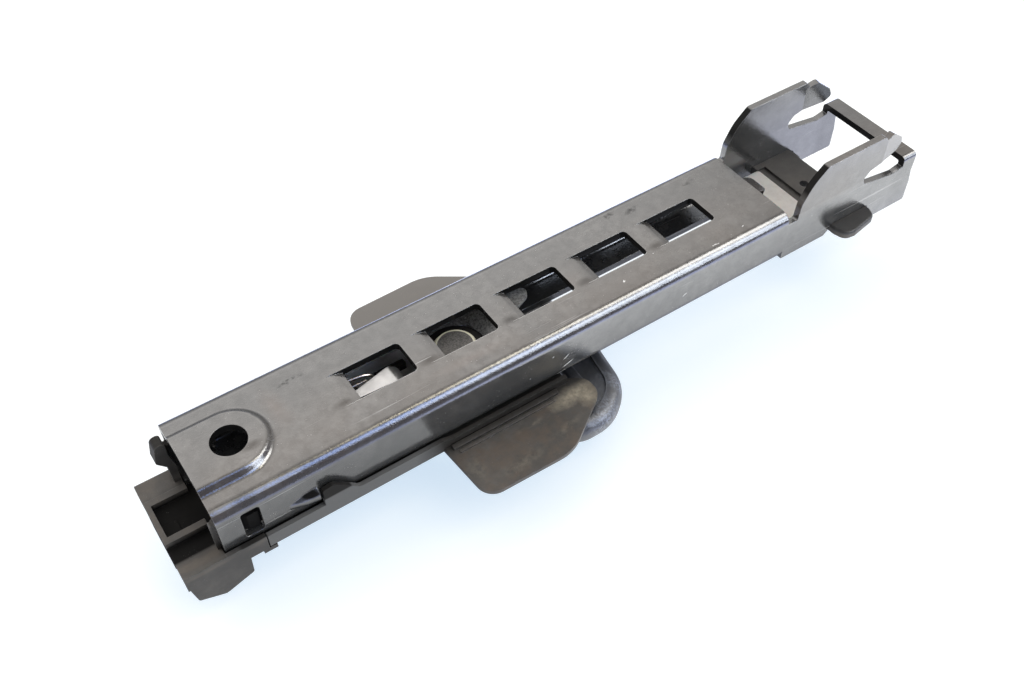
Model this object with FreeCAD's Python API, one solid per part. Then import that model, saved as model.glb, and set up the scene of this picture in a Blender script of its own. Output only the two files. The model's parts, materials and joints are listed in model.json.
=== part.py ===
import FreeCAD, Part
import math
import os

# Seat belt height adjuster. Origin at the centre of the upper bolt hole, on the outer
# face of the rail's web. +X runs down the rail to its hook ears, +Z points out of the
# web to the pillar, and the channel opens towards -Z, where the belt guide hangs.

# Rail: one folded sheet
SHEET = 2.0
RAIL_HALF = 16.6
RAIL_DEPTH = 16.3
BEND_IN = 1.2
BEND_OUT = BEND_IN + SHEET
SLOT_HALF = 7.5
WEB_START = -11.7
WEB_END = 161.5
FLANGE_IN = RAIL_HALF - SHEET
LIP_TOP = SHEET - RAIL_DEPTH

# Bolt hole and the raised pad round it
HOLE_R = 4.5
PAD_R = 10.2
PAD_HEIGHT = 1.7
PAD_SLOPE = 1.4

# Windows that the latch tooth drops into
WINDOW_COUNT = 5
WINDOW_PITCH = 24.0
WINDOW_START = 32.1
WINDOW_LENGTH = 15.8
WINDOW_HALF = 5.3
WINDOW_CORNER = 1.4
TAB_LENGTH = 4.8
TAB_DROP = 1.2
TRAVEL = (WINDOW_COUNT - 1) * WINDOW_PITCH

# Tongue at the lower end of the web
TONGUE_LENGTH = 3.7
TONGUE_HALF = 3.6
TONGUE_TILT = 17.0

# Hook ears at the lower end of the flanges
EAR_X = WEB_END + 3.8
EAR_TOP = 12.3
EAR_TIP_X = 196.6
EAR_TIP_TURN = 9.0
HOOK_SLOT_END = 190.0
HOOK_LIP = 2.8
JAW_X = 207.6
JAW_END = 213.1
JAW_DROP = 2.9
JAW_BOTTOM = -RAIL_DEPTH - JAW_DROP
STRAP_TOP = -0.9
STRAP_WIDTH = 5.0

# Holes for the top guide's snap arms, and the pressed stops beside them
CLIP_X = -6.0
CLIP_LENGTH = 4.7
CLIP_TOP = -3.6
CLIP_BOTTOM = 3.5 - RAIL_DEPTH
STOP_X = 5.3
STOP_LENGTH = 7.4
STOP_Z = 5.9 - RAIL_DEPTH
STOP_CHORD = 5.0
STOP_OUT = 1.5

# Bottom stop, its lugs through the flanges, and the buffer on it
NOTCH_X = 180.3
NOTCH_LENGTH = 15.4
NOTCH_TOP = 3.4 - RAIL_DEPTH
LUG_GAP = 0.2
LUG_THICK = 2.2
LUG_OUT = 5.9
LUG_CORNER = 2.6
FLOOR_X = 178.2
FLOOR_END = 193.0
FLOOR_TOP = 4.8 - RAIL_DEPTH
FLOOR_THICK = 2.9
FLOOR_HOLE_R = 1.4
BUFFER_LENGTH = 10.2
BUFFER_HALF = FLANGE_IN - 2.4
BUFFER_TOP = FLOOR_TOP + 1.0
BUFFER_THICK = 3.7
SHELF_THICK = 2.0

# Running clearances
SIDE_GAP = 0.15
COVER_GAP = 0.4
PIN_GAP = 0.05
SWIVEL_GAP = 0.05
END_GAP = 0.3

# Anchor bolt and what is stacked on it
BOLT_X = 61.5
BOLT_R = 5.95
BOLT_PAST_NUT = 1.6
SLEEVE_R = 7.3
COLLAR_R = 11.4
COLLAR_THICK = 1.2
DISC_SPRING = 1.9
DISC_SPRING_SHEET = 0.7
THRUST_THICK = 0.8
THRUST_R = 12.0
FLANGE_R = 13.0
FLANGE_THICK = 1.6
HEX_ACROSS = 17.0
HEX_HEIGHT = 5.6
SOCKET_ACROSS = 8.0
SOCKET_DEPTH = 4.2

# Carriage inside the rail
PLATE_THICK = 3.0
PLATE_START = 26.0
PLATE_LIFT = 0.7
PLATE_INTO_SHOE = 1.4
NUT_R = 8.5
NUT_HEIGHT = 4.2
SHOE_THICK = 2.9
SHOE_PAD = 6.0
SHOE_RELIEF = 0.3
SHOE_CORNER = 1.8

# Latch
PIVOT_X = 29.5
PIVOT_RISE = 2.6
PIN_R = 2.0
HUB_R = 4.0
PIN_STAND = 0.9
PIN_TO_SHOE = 1.25
CHEEK_THICK = 2.0
CHEEK_LENGTH = 9.0
COIL_ROOM = 2.8
TOOTH_X = 45.8
TOOTH_CLEAR = 0.4
TOOTH_SHARE = 0.587
TOOTH_HEIGHT = 5.2
TOOTH_SLANT = 2.8
LEVER_THICK = 3.2
TAIL_X = 14.6
LEAF_GAP = 3.2
LEAF_REACH = 27.2
LEAF_FOOT = 6.0
LEAF_RISE = 5.5
LEAF_BEND = 5.0
COIL_WIRE = 0.9
COIL_TURNS = 3
COIL_RING = PIN_R + 0.35 + COIL_WIRE / 2
WIRE_FOOT = 5.3
WIRE_END = 9.0

# Slide cover with its tail and wings
COVER_SHEET = 1.5
WING_SHEET = 1.2
WALL_THICK = 1.2
WALL_GAP = 0.5
TAIL_START = -1.9
WALL_HEIGHT = 2.7
WING_START = 45.9
WING_END = 88.6
WING_HALF = 36.9
WING_DROP = 0.6
WALL_END = 84.0
EAR_HIGH = 6.1
BUTTON_X = 10.5
BUTTON_LENGTH = 15.0
BUTTON_HALF = 5.6
BUTTON_RIM = 1.6
BUTTON_CURB = 1.2
BUTTON_CAP = 5.4
BUTTON_GAP = 1.1

# Belt guide
GUIDE_GAP = 2.1
GUIDE_HALF = 32.0
GUIDE_REACH = 41.3
GUIDE_SHOULDER = 18.8
CORE_THICK = 3.0
SKIN = 1.4
GUIDE_THICK = 7.4
RIM_ROUND = 3.4
SLOT_ROUND = 1.8
DISH_DEPTH = 0.7
DISH_INSET = 4.5
BELT_SLOT_HALF = GUIDE_HALF - 8.5
BELT_SLOT_X = 17.5
BELT_SLOT_WIDE = 8.6

# Top guide
TOP_GUIDE_START = -22.6
TOP_GUIDE_END = -2.2
TOP_GUIDE_SHEET = 2.4
TOP_GUIDE_WALL = 1.8
TOP_GUIDE_RIM = 2.1 - RAIL_DEPTH
TOP_GUIDE_WALL_TOP = 2.7 - RAIL_DEPTH
TOOL_HOLE_R = 9.6
RIB_Y = 6.0
WELL_FLOOR = -RAIL_DEPTH - 8.7
TOP_GUIDE_FAR = RAIL_HALF - 3.5
HOOK_POST_TOP = 0.3
ARM_THICK = 2.0
LAP = 2.0
LAP_SHEET = 1.2

# Levels that follow from the sizes above
COVER_TOP = -RAIL_DEPTH - COVER_GAP
COVER_LOW = COVER_TOP - COVER_SHEET
COVER_HALF = RAIL_HALF + WALL_GAP + WALL_THICK
WALL_TOP = COVER_TOP + WALL_HEIGHT
WING_TOP = COVER_TOP - WING_DROP
GUIDE_TOP = COVER_LOW - GUIDE_GAP
PLATE_BOTTOM = LIP_TOP + PLATE_LIFT
PLATE_TOP = PLATE_BOTTOM + PLATE_THICK
BOLT_TOP = PLATE_TOP + NUT_HEIGHT + BOLT_PAST_NUT
PIVOT_Z = PLATE_TOP + PIVOT_RISE
TOOTH_TOP = -SHEET - TAB_DROP - TOOTH_CLEAR
BUFFER_X = FLOOR_X - BUFFER_LENGTH
PLATE_END = BUFFER_X - TRAVEL - END_GAP
SHOE_OUT = FLANGE_IN - SIDE_GAP
SHOE_IN = SHOE_OUT - SHOE_THICK
PLATE_HALF = SHOE_IN + PLATE_INTO_SHOE
CHEEK_IN = SHOE_IN - PIN_TO_SHOE - PIN_STAND - CHEEK_THICK
TAIL_HALF = CHEEK_IN - COIL_ROOM
TOOTH_HALF = TOOTH_SHARE * TAIL_HALF
TOOTH_ROOT_HALF = 0.5 * TOOTH_HALF
CORE_TOP = GUIDE_TOP - SKIN
CORE_BOTTOM = CORE_TOP - CORE_THICK
COLLAR_BOTTOM = CORE_TOP + DISC_SPRING
HEAD_TOP = CORE_BOTTOM - THRUST_THICK


def vec(x, y, z):
    return FreeCAD.Vector(x, y, z)


def box(x0, x1, y0, y1, z0, z1):
    return Part.makeBox(x1 - x0, y1 - y0, z1 - z0, vec(x0, y0, z0))


def cylinder(x, y, z0, z1, radius):
    return Part.makeCylinder(radius, z1 - z0, vec(x, y, z0), vec(0, 0, 1))


def cross_cylinder(x, z, y0, y1, radius):
    return Part.makeCylinder(radius, y1 - y0, vec(x, y0, z), vec(0, 1, 0))


def corner_arc(before, corner, after, radius):
    """Start, middle and end of the arc that rounds one corner of an outline."""
    ax, ay = before[0] - corner[0], before[1] - corner[1]
    bx, by = after[0] - corner[0], after[1] - corner[1]
    la, lb = math.hypot(ax, ay), math.hypot(bx, by)
    ax, ay, bx, by = ax / la, ay / la, bx / lb, by / lb
    half = math.acos(max(-1.0, min(1.0, ax * bx + ay * by))) / 2
    reach = min(radius / math.tan(half), 0.48 * la, 0.48 * lb)
    radius = reach * math.tan(half)
    mx, my = ax + bx, ay + by
    lm = math.hypot(mx, my)
    depth = radius / math.sin(half) - radius
    start = (corner[0] + ax * reach, corner[1] + ay * reach)
    middle = (corner[0] + mx / lm * depth, corner[1] + my / lm * depth)
    end = (corner[0] + bx * reach, corner[1] + by * reach)
    return start, middle, end


def outline(points, place):
    """Closed face through points (a, b) or (a, b, corner radius), put in space by place."""
    edges = []
    runs = []
    count = len(points)
    for i, point in enumerate(points):
        if len(point) == 2:
            runs.append((point, point))
            continue
        start, middle, end = corner_arc(points[i - 1], point, points[(i + 1) % count], point[2])
        edges.append(Part.Arc(place(*start), place(*middle), place(*end)).toShape())
        runs.append((start, end))
    for i in range(count):
        start = place(*runs[i][1][:2])
        end = place(*runs[(i + 1) % count][0][:2])
        if start.distanceToPoint(end) > 1e-6:
            edges.append(Part.LineSegment(start, end).toShape())
    return Part.Face(Part.Wire(Part.__sortEdges__(edges)))


def plan(points, z0, z1):
    """Outline in X and Y, raised from z0 to z1."""
    return outline(points, lambda a, b: vec(a, b, z0)).extrude(vec(0, 0, z1 - z0))


def side(points, y0, y1):
    """Outline in X and Z, drawn from y0 to y1."""
    return outline(points, lambda a, b: vec(a, y0, b)).extrude(vec(0, y1 - y0, 0))


def section(points, x0, x1):
    """Outline in Y and Z, drawn from x0 to x1."""
    return outline(points, lambda a, b: vec(x0, a, b)).extrude(vec(x1 - x0, 0, 0))


def fuse(shapes):
    whole = shapes[0]
    if len(shapes) > 1:
        whole = whole.multiFuse(shapes[1:])
    return whole.removeSplitter()


def other_side(shape):
    return shape.mirror(vec(0, 0, 0), vec(0, 1, 0))


def both_sides(shape):
    return [shape, other_side(shape)]


def rounded(shape, radius, pick):
    """Shape with the picked edges rounded; pick takes an edge."""
    edges = [edge for edge in shape.Edges if pick(edge)]
    return shape.makeFillet(radius, edges)


def at_level(z):
    """Picks the edges that lie flat at height z."""
    def pick(edge):
        bounds = edge.BoundBox
        return abs(bounds.ZMin - z) < 1e-4 and abs(bounds.ZMax - z) < 1e-4
    return pick


def turned(shape, centre, axis, degrees):
    shape = shape.copy()
    shape.rotate(centre, axis, degrees)
    return shape


# The rail

def channel():
    outer, inner = RAIL_HALF, FLANGE_IN
    points = [
        (SLOT_HALF, -RAIL_DEPTH), (outer, -RAIL_DEPTH, BEND_OUT), (outer, 0, BEND_OUT),
        (-outer, 0, BEND_OUT), (-outer, -RAIL_DEPTH, BEND_OUT), (-SLOT_HALF, -RAIL_DEPTH),
        (-SLOT_HALF, LIP_TOP), (-inner, LIP_TOP, BEND_IN), (-inner, -SHEET, BEND_IN),
        (inner, -SHEET, BEND_IN), (inner, LIP_TOP, BEND_IN), (SLOT_HALF, LIP_TOP)]
    return section(points, WEB_START, WEB_END)


def pad_form(lift):
    """Raised pad round the bolt hole, from height lift upwards, open to the rail's end."""
    base, top = lift - 0.5, lift + PAD_HEIGHT
    skirt, shoulder = PAD_R + 1.4, PAD_R - PAD_SLOPE
    half = [(skirt, base), (skirt, lift), (PAD_R, lift, 1.8), (shoulder, top, 1.4)]
    profile = outline([(0, base)] + half + [(0, top)], lambda a, b: vec(a, 0, b))
    round_end = profile.revolve(vec(0, 0, 0), vec(0, 0, 1), 360)
    mirrored = [(-point[0],) + point[1:] for point in reversed(half)]
    return round_end.fuse(section(half + mirrored, WEB_START, 0))


def window_cut(start):
    left, right = start - TAB_LENGTH, start + WINDOW_LENGTH
    points = [(left, -WINDOW_HALF), (right, -WINDOW_HALF, WINDOW_CORNER),
              (right, WINDOW_HALF, WINDOW_CORNER), (left, WINDOW_HALF)]
    return plan(points, -2 * SHEET, SHEET)


def window_tab(start):
    """Strip of the web in front of a window, bent down so that the tooth can ride under it."""
    knee = start - 0.65 * TAB_LENGTH
    left = start - 1.35 * TAB_LENGTH
    points = [(left, 0), (knee, 0, 8.3), (start, -TAB_DROP), (start, -TAB_DROP - SHEET),
              (knee - 0.35, -SHEET, 8.3), (left, -SHEET)]
    return side(points, -WINDOW_HALF, WINDOW_HALF)


def web_tongue():
    end = WEB_END + TONGUE_LENGTH
    points = [(WEB_END - 1.0, -TONGUE_HALF), (end, -TONGUE_HALF, 1.6), (end, TONGUE_HALF, 1.6),
              (WEB_END - 1.0, TONGUE_HALF)]
    flat = plan(points, -SHEET, 0)
    return turned(flat, vec(WEB_END - 1.0, 0, 0), vec(0, 1, 0), TONGUE_TILT)


def ear_plate():
    """Near flange beyond the web: hook ear above, jaw below, and the notch for the stop's lug."""
    notch_end = NOTCH_X + NOTCH_LENGTH
    strap_foot = STRAP_TOP - BEND_OUT
    points = [
        (WEB_END, -BEND_OUT), (EAR_X - 0.4, -BEND_OUT, 0.8), (EAR_X, EAR_TOP - 10.1, 5.0),
        (EAR_X + 2.9, EAR_TOP - 4.3, 12.0), (EAR_X + 7.6, EAR_TOP, 1.5),
        (EAR_TIP_X - 1.4, EAR_TOP, 0.8), (EAR_TIP_X, EAR_TOP - 1.9), (EAR_TIP_X, HOOK_LIP),
        (EAR_TIP_X - 4.4, HOOK_LIP - 1.0, 1.5), (HOOK_SLOT_END, HOOK_LIP - 3.4, 1.6),
        (HOOK_SLOT_END + 1.2, HOOK_LIP - 5.7, 1.4), (JAW_X - 3.6, strap_foot - 0.8, 3.0),
        (JAW_X, strap_foot), (JAW_X + STRAP_WIDTH, strap_foot),
        (JAW_END - 0.7, strap_foot - 3.4), (JAW_END, strap_foot - 7.9),
        (JAW_END, JAW_BOTTOM, 0.8), (notch_end, JAW_BOTTOM), (notch_end, NOTCH_TOP, 0.8),
        (NOTCH_X, NOTCH_TOP, 0.8), (NOTCH_X, NOTCH_TOP - 1.5), (NOTCH_X - 1.9, -RAIL_DEPTH),
        (WEB_END, -RAIL_DEPTH)]
    return side(points, -RAIL_HALF, -FLANGE_IN)


def ear_tip():
    """Nose of the hook ear, turned in a little to lead it into the pillar."""
    left = EAR_TIP_X - 1.2
    brow = EAR_TOP - 1.9
    points = [(left, brow), (EAR_TIP_X, brow), (EAR_TIP_X + 3.0, brow + 1.0, 1.6),
              (EAR_TIP_X + 8.0, brow - 2.8, 1.6), (EAR_TIP_X + 9.1, HOOK_LIP + 2.1, 1.2),
              (EAR_TIP_X + 6.8, HOOK_LIP + 0.4, 1.0), (left, HOOK_LIP - 0.25)]
    flat = side(points, -RAIL_HALF, -FLANGE_IN)
    return turned(flat, vec(left, -RAIL_HALF, 0), vec(0, 0, 1), EAR_TIP_TURN)


def strap():
    """Strap that joins the two jaws, folded over at its ends."""
    top = STRAP_TOP
    foot = STRAP_TOP - BEND_OUT
    points = [(-RAIL_HALF, foot), (-RAIL_HALF, top, BEND_OUT - 0.01), (RAIL_HALF, top, BEND_OUT - 0.01),
              (RAIL_HALF, foot), (FLANGE_IN, foot), (FLANGE_IN, top - SHEET, BEND_IN - 0.01),
              (-FLANGE_IN, top - SHEET, BEND_IN - 0.01), (-FLANGE_IN, foot)]
    return section(points, JAW_X, JAW_X + STRAP_WIDTH)


def clip_hole():
    end = CLIP_X + CLIP_LENGTH
    points = [(CLIP_X, CLIP_BOTTOM, 0.8), (end, CLIP_BOTTOM, 0.8), (end, CLIP_TOP, 0.8),
              (CLIP_X, CLIP_TOP, 0.8)]
    return side(points, -RAIL_HALF - 1, -FLANGE_IN + 1)


def stop_wire(x, chord, height, y):
    """Flat-backed arc across the near flange, its back on the plane y."""
    low, high = vec(x, y, STOP_Z - chord / 2), vec(x, y, STOP_Z + chord / 2)
    crown = vec(x, y - height, STOP_Z)
    return Part.Wire([Part.Arc(low, crown, high).toShape(), Part.LineSegment(high, low).toShape()])


def pressed_stop(y):
    """Ramp that rises towards +X and ends in a steep face, its back on the plane y."""
    small = stop_wire(STOP_X, 0.3 * STOP_CHORD, 0.1, y)
    middle = stop_wire(STOP_X + 0.55 * STOP_LENGTH, 0.85 * STOP_CHORD, 0.75 * STOP_OUT, y)
    large = stop_wire(STOP_X + STOP_LENGTH, STOP_CHORD, STOP_OUT, y)
    return Part.makeLoft([small, middle, large], True, True)


def rail():
    sheet = channel().cut(pad_form(-SHEET)).fuse(pad_form(0))
    starts = [WINDOW_START + i * WINDOW_PITCH for i in range(WINDOW_COUNT)]
    sheet = sheet.cut([window_cut(start) for start in starts])
    added = [window_tab(start) for start in starts]
    added += both_sides(ear_plate()) + both_sides(ear_tip()) + [strap(), web_tongue()]
    added += both_sides(pressed_stop(-RAIL_HALF))
    removed = both_sides(pressed_stop(-FLANGE_IN)) + both_sides(clip_hole())
    removed.append(cylinder(0, 0, -2 * SHEET, 2 * SHEET, HOLE_R))
    return fuse([sheet] + added).cut(removed).removeSplitter()


# Fixed plastic pieces

def top_guide_skirt():
    start, low = TOP_GUIDE_START, -RAIL_DEPTH - TOP_GUIDE_SHEET
    points = [(start + 0.3, low + 0.7), (start + 1.3, low - 5.6, 1.0), (start + 7.7, low - 8.5, 1.8),
              (start + 15.3, low - 5.7, 0.8), (start + 15.6, low + 0.7)]
    return side(points, -COVER_HALF, -COVER_HALF + 2.8)


def top_guide_arm():
    """Snap arm that enters the rail's end and clips into the flange hole."""
    outer = FLANGE_IN - 0.1
    root = WEB_START - 0.2
    end = CLIP_X + CLIP_LENGTH
    low, high = CLIP_BOTTOM + 0.5, CLIP_TOP - 1.4
    arm = side([(root, low), (end + 0.5, low), (end + 0.5, high), (CLIP_X, high), (root, high - 0.4)],
               -outer, -outer + ARM_THICK)
    foot = side([(root - 0.9, COVER_TOP), (root, COVER_TOP), (root, high - 0.4),
                 (root - 0.9, high - 0.4, 0.8)], -outer + 0.2, -outer + 1.7)
    barb = plan([(CLIP_X + 0.4, -outer), (CLIP_X + 1.6, -outer - 0.8), (end - 0.4, -outer - 0.8),
                 (end - 0.2, -outer)], low, high - 2.0)
    return [arm, foot, barb]


def top_guide_hook():
    """Hook on the far side that catches in the pillar."""
    root, top = WEB_START - 0.3, HOOK_POST_TOP
    points = [(root, COVER_TOP), (root, top - 9.3), (root - 0.8, top - 4.3), (root - 0.7, top, 1.0),
              (root - 3.2, top, 1.4), (root - 4.2, top - 5.5, 1.1), (root - 1.9, top - 8.5),
              (root - 1.8, COVER_TOP)]
    return side(points, RAIL_HALF - 8.0, RAIL_HALF - 4.6)


def top_guide_well():
    """Deep box between the two ribs, with a low ledge inside its end wall."""
    wall = TOP_GUIDE_WALL
    left, right = TOP_GUIDE_START, WEB_START - 0.3
    half = RIB_Y + wall / 2
    outer = box(left, right, -half, half, WELL_FLOOR, TOP_GUIDE_RIM)
    inner = box(left + 1.3, right + 1, -half + wall, half - wall, WELL_FLOOR + 1.5, TOP_GUIDE_RIM + 1)
    ledge = box(left, left + 5.0, -half, -0.5, WELL_FLOOR, TOP_GUIDE_RIM - 1.8)
    end_wall = box(right - 0.9, right, -half, half, WELL_FLOOR, -RAIL_DEPTH)
    return [outer.cut(inner), ledge, end_wall]


def top_guide_slope():
    """Floor between the near rib and the near wall, rising to the wall's top."""
    low, floor = -RAIL_DEPTH - TOP_GUIDE_SHEET, -RAIL_DEPTH - 1.4
    near, foot = -COVER_HALF, -RIB_Y - TOP_GUIDE_WALL / 2
    points = [(near, low), (near, TOP_GUIDE_WALL_TOP), (near + 1.2, TOP_GUIDE_WALL_TOP - 0.2, 3.0),
              (foot, floor, 3.0), (foot + 0.4, floor), (foot + 0.4, low)]
    return section(points, TOP_GUIDE_START, WEB_START - 0.3)


def top_guide():
    low = -RAIL_DEPTH - TOP_GUIDE_SHEET
    start, end = TOP_GUIDE_START, TOP_GUIDE_END
    rail_end = WEB_START - 0.3
    solids = [box(start, end, -COVER_HALF, TOP_GUIDE_FAR, low, -RAIL_DEPTH),
              box(rail_end, end, 0, COVER_HALF, low, -RAIL_DEPTH),
              box(start, rail_end, RIB_Y, TOP_GUIDE_FAR, low, TOP_GUIDE_RIM - 0.5),
              box(end - 1.5, end + LAP, -COVER_HALF, COVER_HALF, low - LAP_SHEET, low)]
    for y in (-COVER_HALF, COVER_HALF - WALL_THICK):
        solids.append(box(rail_end, end, y, y + WALL_THICK, low, TOP_GUIDE_WALL_TOP))
    solids += [top_guide_slope(), top_guide_skirt(), top_guide_hook()] + top_guide_well()
    for part in top_guide_arm():
        solids += both_sides(part)
    access = cylinder(0, 0, low - LAP_SHEET - 1, -3.0, TOOL_HOLE_R)
    return fuse(solids).cut(access).removeSplitter()


def bottom_lug():
    inner = FLANGE_IN - 3.0
    outer = RAIL_HALF + LUG_OUT
    left, right = NOTCH_X + LUG_GAP, NOTCH_X + NOTCH_LENGTH - LUG_GAP
    top = NOTCH_TOP - LUG_GAP
    points = [(left, -inner), (left, -outer + 4.0), (left + 1.0, -outer + 0.5, LUG_CORNER),
              (left + 4.5, -outer), (right - 1.2, -outer + 1.6, LUG_CORNER), (right, -outer + 4.6),
              (right, -inner)]
    lug = plan(points, top - LUG_THICK, top)
    return rounded(lug, 0.7, at_level(top))


def bottom_stop():
    low = FLOOR_TOP - FLOOR_THICK
    half = FLANGE_IN
    floor = box(FLOOR_X, FLOOR_END, -half, half, low, FLOOR_TOP)
    step = box(FLOOR_X, FLOOR_X + 3.2, -half + 2.0, half - 2.0, FLOOR_TOP - 0.8, FLOOR_TOP + 1)
    shelf_top = BUFFER_TOP - BUFFER_THICK
    shelf = box(BUFFER_X + 1.5, FLOOR_X + 1.0, -11.0, 11.0, shelf_top - SHELF_THICK, shelf_top)
    back = box(FLOOR_X, FLOOR_X + 2.5, -11.0, 11.0, shelf_top - SHELF_THICK, low)
    pegs = [cylinder(BUFFER_X + BUFFER_LENGTH / 2, y, shelf_top, shelf_top + 1.8, 1.5) for y in (-6.0, 6.0)]
    body = floor.cut(step)
    hole = cylinder((FLOOR_X + FLOOR_END) / 2, 0, low - 1, FLOOR_TOP + 1, FLOOR_HOLE_R)
    return fuse([body, shelf, back] + pegs + both_sides(bottom_lug())).cut(hole).removeSplitter()


def buffer():
    low = BUFFER_TOP - BUFFER_THICK
    points = [(BUFFER_X, -BUFFER_HALF, 3.6), (FLOOR_X, -BUFFER_HALF, 1.4), (FLOOR_X, BUFFER_HALF, 1.4),
              (BUFFER_X, BUFFER_HALF, 3.6)]
    block = rounded(plan(points, low, BUFFER_TOP), 1.2, at_level(BUFFER_TOP))
    holes = [cylinder(BUFFER_X + BUFFER_LENGTH / 2, y, low - 1, low + 2.0, 1.6) for y in (-6.0, 6.0)]
    return block.cut(holes)


# The carriage

def carriage_plate():
    half = PLATE_HALF
    points = [(PLATE_START, -half, 1.0), (PLATE_END, -half, 1.0), (PLATE_END, half, 1.0),
              (PLATE_START, half, 1.0)]
    plate = plan(points, PLATE_BOTTOM, PLATE_TOP)
    wide, narrow = CHEEK_IN, TAIL_HALF + 0.8
    left, knee, right = PLATE_START - 1, PLATE_START + CHEEK_LENGTH + 0.5, PIVOT_X + 12.5
    well = plan([(left, -wide), (knee, -wide, 1.0), (knee, -narrow), (right, -narrow, 2.0),
                 (right, narrow, 2.0), (knee, narrow), (knee, wide, 1.0), (left, wide)],
                PLATE_BOTTOM - 1, PLATE_TOP + 1)
    cheek_top = PIVOT_Z + PIN_R + 2.0
    left, right = PLATE_START, PLATE_START + CHEEK_LENGTH
    cheek = side([(left, PLATE_BOTTOM), (left, cheek_top, 2.5), (right - 1.5, cheek_top, 2.5),
                  (right, PLATE_BOTTOM)], -CHEEK_IN - CHEEK_THICK, -CHEEK_IN)
    holes = [cross_cylinder(PIVOT_X, PIVOT_Z, -half, half, PIN_R + PIN_GAP),
             cylinder(BOLT_X, 0, PLATE_BOTTOM - 1, PLATE_TOP + 1, BOLT_R + PIN_GAP)]
    holes += [leg_slot(x, s) for x in leg_places() for s in (-1, 1)]
    return fuse([plate] + both_sides(cheek)).cut([well] + holes).removeSplitter()


def leg_places():
    """Where the slide cover's snap legs pass the carriage plate, along X."""
    return [BOLT_X - NUT_R - 7.5, BOLT_X - NUT_R - 1.5 - 10.0]


def leg_slot(x, side_sign):
    y0, y1 = sorted((side_sign * (SLOT_HALF - 2.6), side_sign * (SLOT_HALF + 0.9)))
    return box(x - 0.2, x + 4.2, y0, y1, PLATE_BOTTOM - 1, PLATE_TOP + 1)


def weld_nut():
    ring = cylinder(BOLT_X, 0, PLATE_TOP, PLATE_TOP + NUT_HEIGHT, NUT_R)
    ring = rounded(ring, 0.8, at_level(PLATE_TOP + NUT_HEIGHT))
    return ring.cut(cylinder(BOLT_X, 0, PLATE_TOP - 1, PLATE_TOP + NUT_HEIGHT + 1, BOLT_R + PIN_GAP))


def slide_shoe():
    """Near shoe: runs in the rail's corner and grips the edge of the carriage plate."""
    low, high = LIP_TOP + SIDE_GAP, -SHEET - SIDE_GAP
    relief = -SHOE_OUT + SHOE_RELIEF
    points = [(-SHOE_OUT, low, SHOE_CORNER), (-SHOE_OUT, high, SHOE_CORNER), (-SHOE_IN, high),
              (-SHOE_IN, low)]
    body = section(points, PLATE_START, PLATE_END)
    left, right = PLATE_START + SHOE_PAD, PLATE_END - SHOE_PAD
    middle = box(left, right, -SHOE_OUT - 1, relief, low - 1, high + 1)
    crown = box(left, right, -SHOE_OUT - 1, -SHOE_IN + 1, high - 1.6, high + 1)
    groove = box(PLATE_START - 1, PLATE_END + 1, -PLATE_HALF, 0, PLATE_BOTTOM, PLATE_TOP)
    return body.cut([middle, crown, groove])


def anti_rattle_spring():
    """Leaf that bears up towards the web, its feet lying beside the nut on the plate."""
    sheet = 0.8
    foot = PLATE_TOP
    start, tip = BOLT_X - LEAF_FOOT, BOLT_X + LEAF_REACH
    top = PLATE_END + LEAF_RISE
    rise = -SHEET - LEAF_GAP
    profile = [(start, foot), (PLATE_END - 1.5, foot, 2.0), (top, rise - sheet, LEAF_BEND),
               (tip, rise - sheet - 0.8), (tip, rise - 0.8), (top - 0.3, rise, LEAF_BEND),
               (PLATE_END - 2.2, foot + sheet, 2.0), (start, foot + sheet)]
    leaf = side(profile, -PLATE_HALF, PLATE_HALF)
    outer = SHOE_IN - 0.2
    inner = NUT_R + 0.3
    prong = [(start, outer), (PLATE_END + 1.5, outer, 2.0), (PLATE_END + 4.0, 8.2, 2.0),
             (tip, 8.2, 1.5), (tip - 1.5, 4.6, 3.0), (tip - 6.5, 2.2, 2.5),
             (top + 0.5, 2.2, 2.5), (PLATE_END + 3.0, 0)]
    inside = [(BOLT_X + NUT_R + 0.4, 0), (BOLT_X + NUT_R + 0.4, inner, 1.5), (start, inner)]
    blank = plan(prong + inside, foot - 1, 0)
    return leaf.common(fuse(both_sides(blank)))


# The latch

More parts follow.
